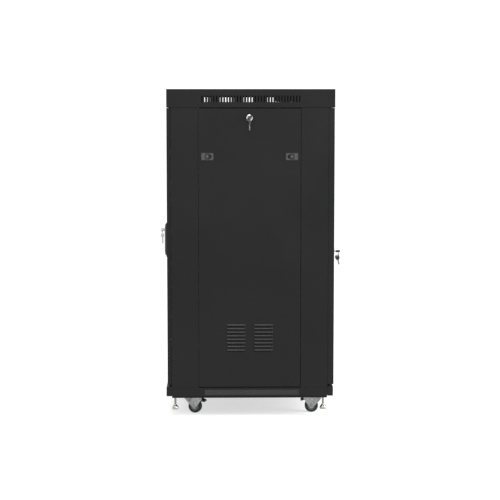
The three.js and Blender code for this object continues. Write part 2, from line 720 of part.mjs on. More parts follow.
function castorFork() {
  const disc = cylinderZ(20, [0, 0], FORK_PLATE_Z, 16);
  const deck = box([CHEEK_FROM_S, CHEEK_TO_S], [-CHEEK_OUTER, CHEEK_OUTER], FORK_PLATE_Z);
  const kingpinHole = cylinderZ(5.4, [0, 0], [FORK_PLATE_Z[0] - 1, FORK_PLATE_Z[1] + 1], 12);
  const cheekOutline = [
    [FORK_PLATE_Z[1], CHEEK_FROM_S],
    [FORK_PLATE_Z[1], CHEEK_TO_S],
    [52, CHEEK_TO_S],
    [22, CASTOR_TRAIL + 8.5],
    [16, CASTOR_TRAIL + 5],
    [16, CASTOR_TRAIL - 5],
    [22, CASTOR_TRAIL - 8.5],
    [52, CHEEK_FROM_S],
  ];
  const axle = [CASTOR_TRAIL, AXLE_Z];
  return join(
    cut(join(disc, deck), kingpinHole),
    alongY(cheekOutline, CHEEK_INNER, CHEEK_OUTER),
    alongY(cheekOutline, -CHEEK_OUTER, -CHEEK_INNER),
    cylinderY(4, axle, [-CHEEK_OUTER, CHEEK_OUTER], 8),
    cylinderY(6, axle, [CHEEK_OUTER - 0.5, CHEEK_OUTER + 1.5], 8),
    cylinderY(6, axle, [-CHEEK_OUTER - 1.5, 0.5 - CHEEK_OUTER], 8),
  );
}

// A wheel with a chamfered tread and an open bore, one flat of its tread facing down.
function castorWheel() {
  const half = WHEEL_WIDTH / 2;
  const bore = 4.5;
  const profile = [
    [bore, -half],
    [WHEEL_RADIUS - 3, -half],
    [WHEEL_RADIUS, -half + 3],
    [WHEEL_RADIUS, half - 3],
    [WHEEL_RADIUS - 3, half],
    [bore, half],
    [bore, -half],
  ];
  const points = profile.map(([r, h]) => new THREE.Vector2(r, h));
  const ring = new THREE.LatheGeometry(points, WHEEL_SIDES, Math.PI / WHEEL_SIDES);
  return solidFrom(ring.translate(CASTOR_TRAIL, 0, AXLE_Z));
}

function brakePedal() {
  const lever = [
    [56, 28.5],
    [56, 36],
    [50, 52],
    [44, 52],
    [47.2, 34],
    [49.5, 28.5],
  ];
  const pad = [
    [51.5, 47.5],
    [47.5, 57],
    [43, 57],
    [44.5, 47.5],
  ];
  const leverHalf = CHEEK_INNER - 0.6;
  return join(alongY(lever, -leverHalf, leverHalf), alongY(pad, -14, 14));
}

// Direction in which each castor trails, in degrees anticlockwise from +X.
const castors = [
  { place: 'front_right', x: CASTOR_X, y: CASTOR_FRONT_Y, trailAngle: 72 },
  { place: 'rear_right', x: CASTOR_X, y: CASTOR_REAR_Y, trailAngle: -92 },
  { place: 'front_left', x: -CASTOR_X, y: CASTOR_FRONT_Y, trailAngle: 100 },
  { place: 'rear_left', x: -CASTOR_X, y: CASTOR_REAR_Y, trailAngle: -65 },
];

for (const { place, x, y, trailAngle } of castors) {
  addPiece(cabinet, `castor_plate_${place}`, castorPlate(), zincPlate(), [x, y, 0]);
  const swivel = new THREE.Group();
  swivel.position.set(x, y, 0);
  swivel.rotation.z = THREE.MathUtils.degToRad(trailAngle);
  cabinet.add(swivel);
  addPiece(swivel, `castor_fork_${place}`, castorFork(), zincPlate());
  addPiece(swivel, `castor_wheel_${place}`, castorWheel(), rubber());
  addPiece(swivel, `brake_pedal_${place}`, brakePedal(), blackPlastic());
}

// ---------------------------------------------------------------- levelling feet

// A threaded stud on a domed pad, drawn as one turned solid.
function levellingFoot() {
  const profile = [
    [0, 0],
    [12, 0],
    [12, 3],
    [7, 12],
    [STUD_RADIUS, 20],
    [STUD_RADIUS, 69],
    [0, 69],
  ];
  const points = profile.map(([r, h]) => new THREE.Vector2(r, h));
  return solidFrom(new THREE.LatheGeometry(points, 12).rotateX(Math.PI / 2));
}

for (const [sideName, side] of [['right', 1], ['left', -1]]) {
  const x = side * FOOT_X;
  const foot = levellingFoot();
  const frontPlace = [x, FOOT_FRONT_Y, FOOT_BOTTOM_Z];
  const rearPlace = [x, FOOT_REAR_Y, FOOT_BOTTOM_Z];
  addPiece(cabinet, `levelling_foot_front_${sideName}`, foot, zincPlate(), frontPlace);
  addPiece(cabinet, `levelling_foot_rear_${sideName}`, foot, zincPlate(), rearPlace);
}

export default cabinet;
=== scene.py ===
"""Looks of a 22U floor-standing network cabinet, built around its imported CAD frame. Metres, +Z up."""

import json
import math

import bmesh
import bpy
from mathutils import Matrix, Vector

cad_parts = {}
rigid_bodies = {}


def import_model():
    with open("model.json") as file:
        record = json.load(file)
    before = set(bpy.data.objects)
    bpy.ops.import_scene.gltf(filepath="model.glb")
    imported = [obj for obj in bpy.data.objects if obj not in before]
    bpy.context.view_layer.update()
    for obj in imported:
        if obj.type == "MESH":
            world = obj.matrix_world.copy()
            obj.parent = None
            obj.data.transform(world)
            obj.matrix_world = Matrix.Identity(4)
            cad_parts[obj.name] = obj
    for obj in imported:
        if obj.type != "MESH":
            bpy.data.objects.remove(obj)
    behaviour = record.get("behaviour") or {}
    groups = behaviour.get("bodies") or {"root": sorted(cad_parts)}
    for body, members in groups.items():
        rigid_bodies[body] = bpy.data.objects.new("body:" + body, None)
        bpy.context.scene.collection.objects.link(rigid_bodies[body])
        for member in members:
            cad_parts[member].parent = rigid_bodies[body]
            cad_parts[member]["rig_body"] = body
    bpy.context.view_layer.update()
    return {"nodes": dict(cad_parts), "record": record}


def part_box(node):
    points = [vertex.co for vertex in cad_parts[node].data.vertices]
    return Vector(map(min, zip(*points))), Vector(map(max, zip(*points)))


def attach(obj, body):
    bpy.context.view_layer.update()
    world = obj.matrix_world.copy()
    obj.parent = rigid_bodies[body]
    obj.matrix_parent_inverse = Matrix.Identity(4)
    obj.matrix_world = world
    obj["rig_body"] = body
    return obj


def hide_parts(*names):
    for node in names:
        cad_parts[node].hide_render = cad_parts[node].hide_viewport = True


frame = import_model()

MM = 0.001
SIDES = (("right", 1), ("left", -1))
CORNERS = ("front_right", "rear_right", "front_left", "rear_left")
LOUVRE_ROWS = 8
LOUVRE_PITCH = 13.0
LOUVRE_BOTTOM = 245.0
LOUVRE_MIDDLE = 49.0
LOUVRE_HALF = 33.5
PANEL_FACE_X = 298.0

# ---------------------------------------------------------------- materials


def new_material(name, color, roughness, metallic=0.0, specular=0.5):
    material = bpy.data.materials.new(name)
    material.use_nodes = True
    shader = material.node_tree.nodes["Principled BSDF"]
    shader.inputs["Base Color"].default_value = (*color, 1)
    shader.inputs["Roughness"].default_value = roughness
    shader.inputs["Metallic"].default_value = metallic
    shader.inputs["Specular IOR Level"].default_value = specular
    return material, shader


def noise(material, scale, detail=2.0, stretch=(1, 1, 1)):
    """A noise value in the cabinet's own metres, finer along the axes where stretch is larger."""
    nodes = material.node_tree.nodes
    links = material.node_tree.links
    place = nodes.new("ShaderNodeTexCoord")
    mapping = nodes.new("ShaderNodeMapping")
    mapping.inputs["Scale"].default_value = stretch
    texture = nodes.new("ShaderNodeTexNoise")
    texture.inputs["Scale"].default_value = scale
    texture.inputs["Detail"].default_value = detail
    links.new(place.outputs["Object"], mapping.inputs["Vector"])
    links.new(mapping.outputs["Vector"], texture.inputs["Vector"])
    return texture.outputs["Fac"]


def vary_color(material, shader, value, dark, light, low=0.3, high=0.7):
    ramp = material.node_tree.nodes.new("ShaderNodeValToRGB")
    ramp.color_ramp.elements[0].position = low
    ramp.color_ramp.elements[0].color = (*dark, 1)
    ramp.color_ramp.elements[1].position = high
    ramp.color_ramp.elements[1].color = (*light, 1)
    material.node_tree.links.new(value, ramp.inputs["Fac"])
    material.node_tree.links.new(ramp.outputs["Color"], shader.inputs["Base Color"])


def vary_roughness(material, shader, value, low, high):
    spread = material.node_tree.nodes.new("ShaderNodeMapRange")
    spread.inputs["From Min"].default_value = 0.3
    spread.inputs["From Max"].default_value = 0.7
    spread.inputs["To Min"].default_value = low
    spread.inputs["To Max"].default_value = high
    material.node_tree.links.new(value, spread.inputs["Value"])
    material.node_tree.links.new(spread.outputs["Result"], shader.inputs["Roughness"])


def bump(material, shader, value, strength, distance):
    node = material.node_tree.nodes.new("ShaderNodeBump")
    node.inputs["Strength"].default_value = strength
    node.inputs["Distance"].default_value = distance
    material.node_tree.links.new(value, node.inputs["Height"])
    material.node_tree.links.new(node.outputs["Normal"], shader.inputs["Normal"])


def powder_coat(name="powder_coat", dark=(0.005, 0.005, 0.0053), light=(0.0068, 0.0068, 0.0071),
                specular=0.14, gloss=(0.38, 0.5)):
    """Satin black powder coat: fine orange peel, with faint broad changes of tone and gloss."""
    material, shader = new_material(name, light, 0.42, specular=specular)
    vary_color(material, shader, noise(material, 3.0, 4.0), dark, light)
    vary_roughness(material, shader, noise(material, 9.0, 3.0), *gloss)
    bump(material, shader, noise(material, 900.0, 2.0), 0.12, 0.0002)
    return material


def zinc_plate(name="zinc_plate"):
    """Bright zinc on pressed steel, with spangle and dull handling marks."""
    material, shader = new_material(name, (0.24, 0.245, 0.25), 0.3, metallic=1.0)
    vary_color(material, shader, noise(material, 160.0, 5.0), (0.15, 0.155, 0.158), (0.31, 0.315, 0.32))
    vary_roughness(material, shader, noise(material, 70.0, 3.0), 0.2, 0.42)
    bump(material, shader, noise(material, 1200.0), 0.05, 0.0001)
    return material


def brushed_metal(name, color, roughness, stretch):
    material, shader = new_material(name, color, roughness, metallic=1.0)
    vary_roughness(material, shader, noise(material, 400.0, 2.0, stretch), roughness * 0.8, roughness * 1.4)
    bump(material, shader, noise(material, 700.0, 2.0, stretch), 0.06, 0.0001)
    return material


def chrome(name="chrome"):
    material, shader = new_material(name, (0.5, 0.5, 0.51), 0.12, metallic=1.0)
    vary_roughness(material, shader, noise(material, 220.0, 3.0), 0.06, 0.16)
    return material


def black_plastic(name="black_plastic"):
    """Moulded plastic with a fine spark-eroded grain."""
    material, shader = new_material(name, (0.011, 0.011, 0.012), 0.45, specular=0.4)
    vary_color(material, shader, noise(material, 60.0, 3.0), (0.009, 0.009, 0.01), (0.014, 0.014, 0.015))
    bump(material, shader, noise(material, 2200.0), 0.15, 0.0001)
    return material


def tyre_rubber(name="tyre_rubber"):
    material, shader = new_material(name, (0.012, 0.012, 0.012), 0.6, specular=0.35)
    vary_color(material, shader, noise(material, 90.0, 4.0), (0.008, 0.008, 0.008), (0.022, 0.021, 0.02))
    vary_roughness(material, shader, noise(material, 130.0, 3.0), 0.5, 0.75)
    return material


def hub_plastic(name="hub_plastic"):
    material, shader = new_material(name, (0.1, 0.1, 0.105), 0.45)
    vary_color(material, shader, noise(material, 120.0, 3.0), (0.08, 0.08, 0.085), (0.13, 0.13, 0.135))
    return material


def tinted_glass(name="tinted_glass"):
    """Grey tempered glass with a faint smear in its gloss."""
    material, shader = new_material(name, (0.34, 0.35, 0.37), 0.02)
    shader.inputs["Transmission Weight"].default_value = 1.0
    shader.inputs["IOR"].default_value = 1.5
    vary_roughness(material, shader, noise(material, 12.0, 3.0), 0.0, 0.03)
    return material


def pale_floor(name="pale_floor"):
    material, shader = new_material(name, (0.42, 0.42, 0.42), 0.9, specular=0.1)
    vary_color(material, shader, noise(material, 1.5, 2.0), (0.415, 0.415, 0.42), (0.425, 0.425, 0.43))
    shader.inputs["Emission Color"].default_value = (1, 1, 1, 1)
    shader.inputs["Emission Strength"].default_value = 0.62
    return material


COAT = powder_coat()
# The roof's coat is a darker copy of the same powder coat: painted shade that makes the roof read darker
# than the sides.
PAINTED_SHADE_ROOF_COAT = powder_coat("roof_coat_painted_shade", (0.0046, 0.0046, 0.0048), (0.006, 0.006, 0.0062))
HOOD_COAT = powder_coat("louvre_powder_coat", specular=0.24, gloss=(0.33, 0.41))
MESH_COAT = powder_coat("mesh_powder_coat", (0.022, 0.022, 0.0235), (0.034, 0.034, 0.0355))
ZINC = zinc_plate()
RAIL_METAL = brushed_metal("rail_zinc", (0.55, 0.56, 0.58), 0.34, (1, 1, 0.03))
KEY_METAL = brushed_metal("key_nickel", (0.4, 0.4, 0.39), 0.22, (0.05, 1, 1))
CHROME = chrome()
PLASTIC = black_plastic()
GRIP = black_plastic("key_grip")
RUBBER = tyre_rubber()
HUB_GREY = hub_plastic()
GLASS = tinted_glass()
FOOT_METAL = brushed_metal("foot_nickel", (0.33, 0.33, 0.3), 0.25, (1, 1, 1))
LEVER_METAL = brushed_metal("lever_steel", (0.13, 0.13, 0.132), 0.35, (1, 1, 0.2))
LATCH_METAL = brushed_metal("latch_steel", (0.075, 0.075, 0.077), 0.42, (1, 1, 1))
KNOB_METAL = brushed_metal("knob_steel", (0.08, 0.08, 0.082), 0.4, (1, 1, 1))
SPARE_METAL = brushed_metal("spare_key_steel", (0.2, 0.2, 0.2), 0.3, (1, 1, 1))
CHROME_WIRE = brushed_metal("guard_wire", (0.5, 0.51, 0.52), 0.25, (1, 1, 1))
FRIT = black_plastic("glass_border")
LATCH_DARK = brushed_metal("latch_frame_steel", (0.035, 0.035, 0.036), 0.5, (1, 1, 1))

SLOT_MATERIALS = {
    "powder_coat": COAT,
    "zinc_plate": ZINC,
    "chrome": CHROME,
    "black_plastic": PLASTIC,
    "tinted_glass": GLASS,
    "rubber": RUBBER,
}

# ---------------------------------------------------------------- mesh helpers


def link_mesh(name, mesh, material, body, smooth=False):
    mesh.materials.append(material)
    for polygon in mesh.polygons:
        polygon.use_smooth = smooth
    piece = bpy.data.objects.new(name, mesh)
    bpy.context.scene.collection.objects.link(piece)
    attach(piece, body)
    return piece


def from_bmesh(name, shape, material, body, smooth=False):
    bmesh.ops.recalc_face_normals(shape, faces=shape.faces)
    mesh = bpy.data.meshes.new(name)
    shape.to_mesh(mesh)
    shape.free()
    return link_mesh(name, mesh, material, body, smooth)


def add_block(shape, low, high):
    """A box between two corners, added to a bmesh."""
    made = bmesh.ops.create_cube(shape, size=1.0)
    size = [b - a for a, b in zip(low, high)]
    middle = [(a + b) / 2 for a, b in zip(low, high)]
    bmesh.ops.scale(shape, vec=size, verts=made["verts"])
    bmesh.ops.translate(shape, vec=middle, verts=made["verts"])
    return made["verts"]


def add_turned(shape, profile, place, segments=48):
    """A body of revolution: (radius, height) points about +Z, moved by the matrix place."""
    rings = []
    for radius, height in profile:
        if radius < 1e-9:
            rings.append([shape.verts.new(place @ Vector((0, 0, height)))])
            continue
        ring = []
        for i in range(segments):
            angle = 2 * math.pi * i / segments
            point = Vector((radius * math.cos(angle), radius * math.sin(angle), height))
            ring.append(shape.verts.new(place @ point))
        rings.append(ring)
    for lower, upper in zip(rings, rings[1:]):
        for i in range(segments):
            j = (i + 1) % segments
            below = [lower[i % len(lower)], lower[j % len(lower)]]
            above = [upper[j % len(upper)], upper[i % len(upper)]]
            unique = list(dict.fromkeys(below + above))
            if len(unique) > 2:
                shape.faces.new(unique)
    return rings


def soften(piece, width, segments=2, angle=30):
    bevel = piece.modifiers.new("soft_edges", "BEVEL")
    bevel.width = width
    bevel.segments = segments
    bevel.limit_method = "ANGLE"
    bevel.angle_limit = math.radians(angle)
    bevel.harden_normals = False
    return piece


def aim(origin, direction):
    """The matrix that takes +Z to direction and the origin to a point."""
    turn = Vector(direction).to_track_quat("Z", "Y").to_matrix().to_4x4()
    return Matrix.Translation(origin) @ turn


def body_of_node(node):
    return frame["nodes"][node]["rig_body"]


# ---------------------------------------------------------------- CAD nodes that stay

EDGE_WIDTHS = {
    "roof_cover": 1.2 * MM,
    "front_frame": 0.9 * MM,
    "rear_frame": 0.9 * MM,
    "front_door_frame": 0.9 * MM,
    "rear_door_panel": 0.9 * MM,
    "side_panel_right": 1.5 * MM,
    "side_panel_left": 1.5 * MM,
    "front_handle_lever": 1.3 * MM,
    "front_door_glass": 0.6 * MM,
}


def finish_cad_node(node, slot_name):
    """Cleans the facets of a CAD node, rounds its edges and gives it its finish."""
    piece = frame["nodes"][node]
    # The roof cover takes the darker copy of the coat, which is painted shade.
    material = PAINTED_SHADE_ROOF_COAT if node == "roof_cover" else SLOT_MATERIALS[slot_name]
    if node.startswith("slide_latch"):
        material = KNOB_METAL
    if node == "front_handle_lever":
        material = LEVER_METAL
    for i in range(len(piece.material_slots)):
        piece.material_slots[i].link = "OBJECT"
        piece.material_slots[i].material = material
    weld = piece.modifiers.new("weld", "WELD")
    weld.merge_threshold = 0.00001
    dissolve = piece.modifiers.new("flat_faces", "DECIMATE")
    dissolve.decimate_type = "DISSOLVE"
    dissolve.angle_limit = math.radians(1)
    soften(piece, EDGE_WIDTHS.get(node, 0.4 * MM), angle=32)


for entry in frame["record"]["subparts"]:
    finish_cad_node(entry["node"], entry["material_slot"])

# ---------------------------------------------------------------- placing
# Details are drawn in millimetres: x to the viewer's right, y up and z out of the face.


def facing(outward, origin_mm, turn=0.0):
    normal = Vector(outward).normalized()
    up = Vector((0, 1, 0)) if abs(normal.z) > 0.9 else Vector((0, 0, 1))
    right = up.cross(normal).normalized()
    up = normal.cross(right)
    basis = Matrix((right, up, normal)).transposed().to_4x4()
    spot = Matrix.Translation(Vector(origin_mm) * MM)
    return spot @ basis @ Matrix.Scale(MM, 4) @ Matrix.Rotation(turn, 4, "Z")


def place_shape(shape, place):
    bmesh.ops.transform(shape, matrix=place, verts=shape.verts)


def ring_outline(radius, count=24, middle=(0, 0), squash=1.0):
    points = []
    for i in range(count):
        angle = 2 * math.pi * i / count
        points.append((middle[0] + radius * math.cos(angle), middle[1] + squash * radius * math.sin(angle)))
    return points


def box_outline(x0, x1, y0, y1):
    return [(x0, y0), (x1, y0), (x1, y1), (x0, y1)]


def rounded_outline(x0, x1, y0, y1, radius, count=5):
    points = []
    corners = ((x1 - radius, y0 + radius, -90), (x1 - radius, y1 - radius, 0),
               (x0 + radius, y1 - radius, 90), (x0 + radius, y0 + radius, 180))
    for cx, cy, start in corners:
        for i in range(count + 1):
            angle = math.radians(start + 90 * i / count)
            points.append((cx + radius * math.cos(angle), cy + radius * math.sin(angle)))
    return points


def flat_mesh(outlines, thickness, place, rounding=0.0):
    """A plate between z = 0 and z = thickness, cut to its outlines with their holes."""
    curve = bpy.data.curves.new("outline", "CURVE")
    curve.dimensions = "2D"
    curve.fill_mode = "BOTH"
    curve.extrude = thickness / 2 - rounding
    curve.bevel_depth = rounding
    curve.bevel_resolution = 2
    curve.offset = -rounding
    for points in outlines:
        spline = curve.splines.new("POLY")
        spline.points.add(len(points) - 1)
        for point, (x, y) in zip(spline.points, points):
            point.co = (x, y, 0, 1)
        spline.use_cyclic_u = True
    stencil = bpy.data.objects.new("outline", curve)
    bpy.context.scene.collection.objects.link(stencil)
    mesh = bpy.data.meshes.new_from_object(stencil)
    bpy.data.objects.remove(stencil)
    bpy.data.curves.remove(curve)
    mesh.materials.clear()
    mesh.transform(place @ Matrix.Translation((0, 0, thickness / 2)))
    return mesh


def plate(name, outlines, thickness, place, material, body, rounding=0.0):
    mesh = flat_mesh(outlines, thickness, place, rounding)
    return link_mesh(name, mesh, material, body)


def turned(name, profile, place, material, body, segments=48, smooth=True):
    """A body of revolution about z, with sharp turns of its profile kept crisp."""
    shape = bmesh.new()
    add_turned(shape, profile, place, segments)
    piece = from_bmesh(name, shape, material, body, smooth)
    piece.data.set_sharp_from_angle(angle=math.radians(35))
    return piece


def closed_turned(name, profile, place, material, body, segments=48):
    """A ring whose profile closes on itself."""
    shape = bmesh.new()
    rings = add_turned(shape, profile, place, segments)
    for i in range(segments):
        j = (i + 1) % segments
        shape.faces.new([rings[-1][i], rings[-1][j], rings[0][j], rings[0][i]])
    piece = from_bmesh(name, shape, material, body, True)
    piece.data.set_sharp_from_angle(angle=math.radians(35))
    return piece


def wire_ring(shape, radius, thickness, place, segments=40, sides=10):
    """A round wire hoop in the local x-y plane."""
    hoops = []
    for i in range(segments):
        angle = 2 * math.pi * i / segments
        hoop = []
        for k in range(sides):
            turn = 2 * math.pi * k / sides
            reach = radius + thickness * math.cos(turn)
            point = Vector((reach * math.cos(angle), reach * math.sin(angle), thickness * math.sin(turn)))
            hoop.append(shape.verts.new(place @ point))
        hoops.append(hoop)
    for i in range(segments):
        near = hoops[i]
        far = hoops[(i + 1) % segments]
        for k in range(sides):
            m = (k + 1) % sides
            shape.faces.new([near[k], near[m], far[m], far[k]])


SCREW_HEAD = ((0, 0.55), (0.34, 0.55), (0.4, 1.0), (0.7, 0.88), (0.92, 0.55), (1.0, 0.2), (1.0, 0.0),
              (0, 0.0))


def add_screws(name, spots, radius, height, material, body):
    """Recessed button heads at each place matrix, joined in one piece."""
    shape = bmesh.new()
    for place in spots:
        add_turned(shape, [(r * radius, h * height) for r, h in SCREW_HEAD], place, 20)
    piece = from_bmesh(name, shape, material, body, True)
    piece.data.set_sharp_from_angle(angle=math.radians(40))
    return piece


# ---------------------------------------------------------------- castors


def middle_mm(node):
    low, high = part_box(node)
    return Vector([(a + b) / 2 / MM for a, b in zip(low, high)])


TYRE = ((15.2, -7.6), (19.5, -8.6), (22.4, -9.2), (23.9, -8.2), (24.6, -6.2), (24.69, -2.0), (24.69, 2.0),
        (24.6, 6.2), (23.9, 8.2), (22.4, 9.2), (19.5, 8.6), (15.2, 7.6))
HUB = ((0, -10.4), (4.6, -10.4), (5.2, -9.8), (5.2, -6.6), (7.0, -5.8), (12.6, -5.8), (13.6, -6.6),
       (14.0, -7.7), (15.1, -7.7), (15.1, 7.7), (14.0, 7.7), (13.6, 6.6), (12.6, 5.8), (7.0, 5.8),
       (5.2, 6.6), (5.2, 9.8), (4.6, 10.4), (0, 10.4))
AXLE_CAP = ((0, 3.6), (3.0, 3.6), (4.0, 3.1), (4.0, 0.9), (5.6, 0.7), (5.6, 0.05), (0, 0.05))
AXLE_CAP_REACH = 13.5
PLATE_UNDERSIDE_Z = 69.4

for corner in CORNERS:
    wheel = f"castor_wheel_{corner}"
    hub_at = middle_mm(wheel)
    kingpin = middle_mm(f"castor_plate_{corner}")
    trail = Vector((hub_at.x - kingpin.x, hub_at.y - kingpin.y, 0)).normalized()
    across = Vector((0, 0, 1)).cross(trail)
    side_on = facing(across, hub_at)
    tyre = closed_turned(f"tyre_{corner}", TYRE, side_on, RUBBER, f"wheel_{corner}", 72)
    turned(f"wheel_hub_{corner}", HUB, side_on, HUB_GREY, f"wheel_{corner}")
    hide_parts(wheel)
    for end, sign in (("a", 1), ("b", -1)):
        cap_at = hub_at + across * (AXLE_CAP_REACH * sign)
        turned(f"axle_cap_{end}_{corner}", AXLE_CAP, facing(across * sign, cap_at), ZINC,
               f"castor_{corner}", 6 if sign > 0 else 24, sign < 0)
    bolts = []
    for dx in (-30, 30):
        for dy in (-22, 22):
            bolts.append(facing((0, 0, -1), (kingpin.x + dx, kingpin.y + dy, PLATE_UNDERSIDE_Z)))
    add_screws(f"castor_bolts_{corner}", bolts, 4.6, 3.0, ZINC, "cabinet")

# ---------------------------------------------------------------- levelling feet

FOOT_PAD = ((0, 0), (9.6, 0), (11.2, 0.7), (11.9, 2.2), (12.0, 4.6), (11.5, 7.4), (10.4, 10.2), (8.8, 12.8),
            (6.9, 15.0), (5.2, 16.8), (4.4, 18.6), (4.2, 20.0), (0, 20.0))
LOCKNUT_RISE = 47.5


def foot_thread(low, high, pitch=1.25):
    profile = [(0, low), (3.4, low)]
    height = low
    while height + pitch <= high:
        profile += [(3.4, height + 0.15), (3.95, height + 0.55), (3.95, height + 0.7), (3.4, height + 1.1)]
        height += pitch
    return profile + [(3.4, high), (0, high)]


for corner in CORNERS:
    node = f"levelling_foot_{corner}"
    low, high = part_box(node)
    stand = middle_mm(node)
    base_at = facing((0, 0, 1), (stand.x, stand.y, low[2] / MM))
    body = f"foot_{corner}"
    pad = turned(f"foot_pad_{corner}", FOOT_PAD, base_at, FOOT_METAL, body)
    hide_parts(node)
    reach = (high[2] - low[2]) / MM
    turned(f"foot_stud_{corner}", foot_thread(18.0, reach), base_at, FOOT_METAL, body, 24)
    plate(f"foot_locknut_{corner}", [ring_outline(7.5, 6)], 5.0,
          base_at @ Matrix.Translation((0, 0, LOCKNUT_RISE)), FOOT_METAL, body, 0.6)

# ---------------------------------------------------------------- locks and keys

BARREL_HEAD = ((5.4, 2.6), (5.9, 3.1), (6.6, 3.3), (10.4, 3.3), (11.2, 2.8), (11.5, 1.9), (11.5, 0.3),
               (8.0, 0.3))
KEY_PLANE = Matrix(((0, 1, 0, 0), (0, 0, 1, 0), (1, 0, 0, 0), (0, 0, 0, 1)))


def lock_barrel(node, place, depth):
    profile = BARREL_HEAD + ((8.0, -depth), (5.4, -depth))
    barrel = closed_turned(f"{node}_turned", profile, place, CHROME, body_of_node(node))
    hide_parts(node)


def blade_outline(start, tip, width):
    """A key blade from start to tip along x, with cuts along one edge and a bevelled point."""
    half = width / 2
    points = [(start, -half)]
    cuts = (0.9, 2.0, 1.2, 2.4, 0.7, 1.7)
    room = (tip - 2.2 * math.copysign(1, tip - start)) - start
    for i, cut in enumerate(cuts):
        points.append((start + room * (i + 0.25) / len(cuts), -half))
        points.append((start + room * (i + 0.5) / len(cuts), -half + cut))
        points.append((start + room * (i + 0.75) / len(cuts), -half + cut))
    return points + [(start + room, -half + 0.6), (tip, 0.2), (start + room, half), (start, half)]


def bow_outline(middle, half_length, half_width):
    """A bow with flattened flanks."""
    points = []
    for i in range(36):
        angle = 2 * math.pi * i / 36
        c = math.cos(angle)
        s = math.sin(angle)
        points.append((middle + half_length * math.copysign(abs(c) ** 0.85, c),
                       half_width * math.copysign(abs(s) ** 0.85, s)))
    return points


def lock_key(node, place, tilt, bow_material):
    """The key in a cam lock: moulded bow with a ring hole, nickel collar and blade."""
    body = body_of_node(node)
    flat = place @ Matrix.Rotation(tilt, 4, "Z") @ KEY_PLANE
    bow = plate(f"{node}_bow", [bow_outline(16.0, 8.4, 10.9), ring_outline(2.3, 16, (20.3, 0))], 7.0,
                flat @ Matrix.Translation((0, 0, -3.5)), bow_material, body, 1.8)
    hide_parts(node)
    plate(f"{node}_grip", [bow_outline(15.0, 4.6, 7.2)], 7.5, flat @ Matrix.Translation((0, 0, -3.75)),
          GRIP, body, 0.35)
    plate(f"{node}_collar", [rounded_outline(3.8, 9.5, -4.4, 4.4, 0.8)], 4.6,
          flat @ Matrix.Translation((0, 0, -2.3)), KEY_METAL, body, 0.4)
    plate(f"{node}_blade", [blade_outline(5.0, -6.8, 6.8)], 1.8, flat @ Matrix.Translation((0, 0, -0.9)),
          KEY_METAL, body, 0.15)


def key_ring(name, place, radius, body, wire=0.75):
    shape = bmesh.new()
    wire_ring(shape, radius, wire, place)
    wire_ring(shape, radius - 0.3, wire * 0.8, place @ Matrix.Translation((0, 0, wire * 1.2)))
    return from_bmesh(name, shape, KEY_METAL, body, True)


def hanging(spot, turn, lean=0.0):
    """A frame at a ring's lowest point: x runs down along a hanging key, turned about the vertical."""
    sway = Matrix.Rotation(turn, 4, "Z") @ Matrix.Rotation(lean, 4, "Y")
    down = Matrix(((0, 1, 0, 0), (0, 0, -1, 0), (-1, 0, 0, 0), (0, 0, 0, 1)))
    return Matrix.Translation(Vector(spot) * MM) @ sway @ down @ Matrix.Scale(MM, 4)


def spare_key(name, frame_at, body, bow_material, bow, blade, rounding=1.5, metal=KEY_METAL):
    """A spare key hung by its bow hole: x = 0 is the hole's upper edge."""
    half_length, half_width, thickness = bow
    middle = half_length - 2.2
    hole = ring_outline(1.7, 14, (1.2, 0))
    plate(f"{name}_bow", [bow_outline(middle, half_length, half_width), hole], thickness,
          frame_at @ Matrix.Translation((0, 0, -thickness / 2)), bow_material, body, rounding)
    start = middle + half_length - 1.5
    plate(f"{name}_blade", [blade_outline(start, start + blade, 6.6)], 1.8,
          frame_at @ Matrix.Translation((0, 0, -0.9)), metal, body, 0.15)


for side_name, sign in SIDES:
    head = middle_mm(f"side_lock_barrel_{side_name}")
    spot = facing((sign, 0, 0), (PANEL_FACE_X * sign, head.y, head.z))
    lock_barrel(f"side_lock_barrel_{side_name}", spot, 18.0)
    lock_key(f"side_lock_key_{side_name}", spot, math.pi / 4, PLASTIC)

panel = "side_panel_right"
lock_mid = middle_mm("side_lock_barrel_right")
ring_at = Matrix.Translation(Vector((318.2, lock_mid.y, lock_mid.z - 5.2)) * MM)
ring_turn = ring_at @ Matrix.Rotation(math.radians(70), 4, "Z") @ Matrix.Rotation(math.pi / 2, 4, "X")
key_ring("side_key_ring", ring_turn @ Matrix.Scale(MM, 4), 5.8, panel)
spare_at = hanging((316.5, lock_mid.y + 0.5, lock_mid.z - 10.6), math.radians(-30))
spare_key("side_spare_key", spare_at, panel, PLASTIC, (7.5, 6.0, 5.0), 24.0,
          metal=SPARE_METAL)

rear_mid = middle_mm("rear_lock_barrel")
rear_at = facing((0, 1, 0), (rear_mid.x, 299.0, rear_mid.z))
lock_barrel("rear_lock_barrel", rear_at, 25.5)
lock_key("rear_lock_key", rear_at, 0.0, PLASTIC)
ring_at = Matrix.Translation(Vector((rear_mid.x, 317.6, rear_mid.z - 6.8)) * MM)
key_ring("rear_key_ring", ring_at @ Matrix.Rotation(math.pi / 2, 4, "X") @ Matrix.Scale(MM, 4), 8.8,
         "rear_door")
spare_at = hanging((rear_mid.x, 311.5, rear_mid.z - 15.2), math.pi / 2, math.radians(-12))
spare_key("rear_spare_key", spare_at, "rear_door", PLASTIC, (9.5, 8.0, 6.0), 20.0,
          metal=SPARE_METAL)

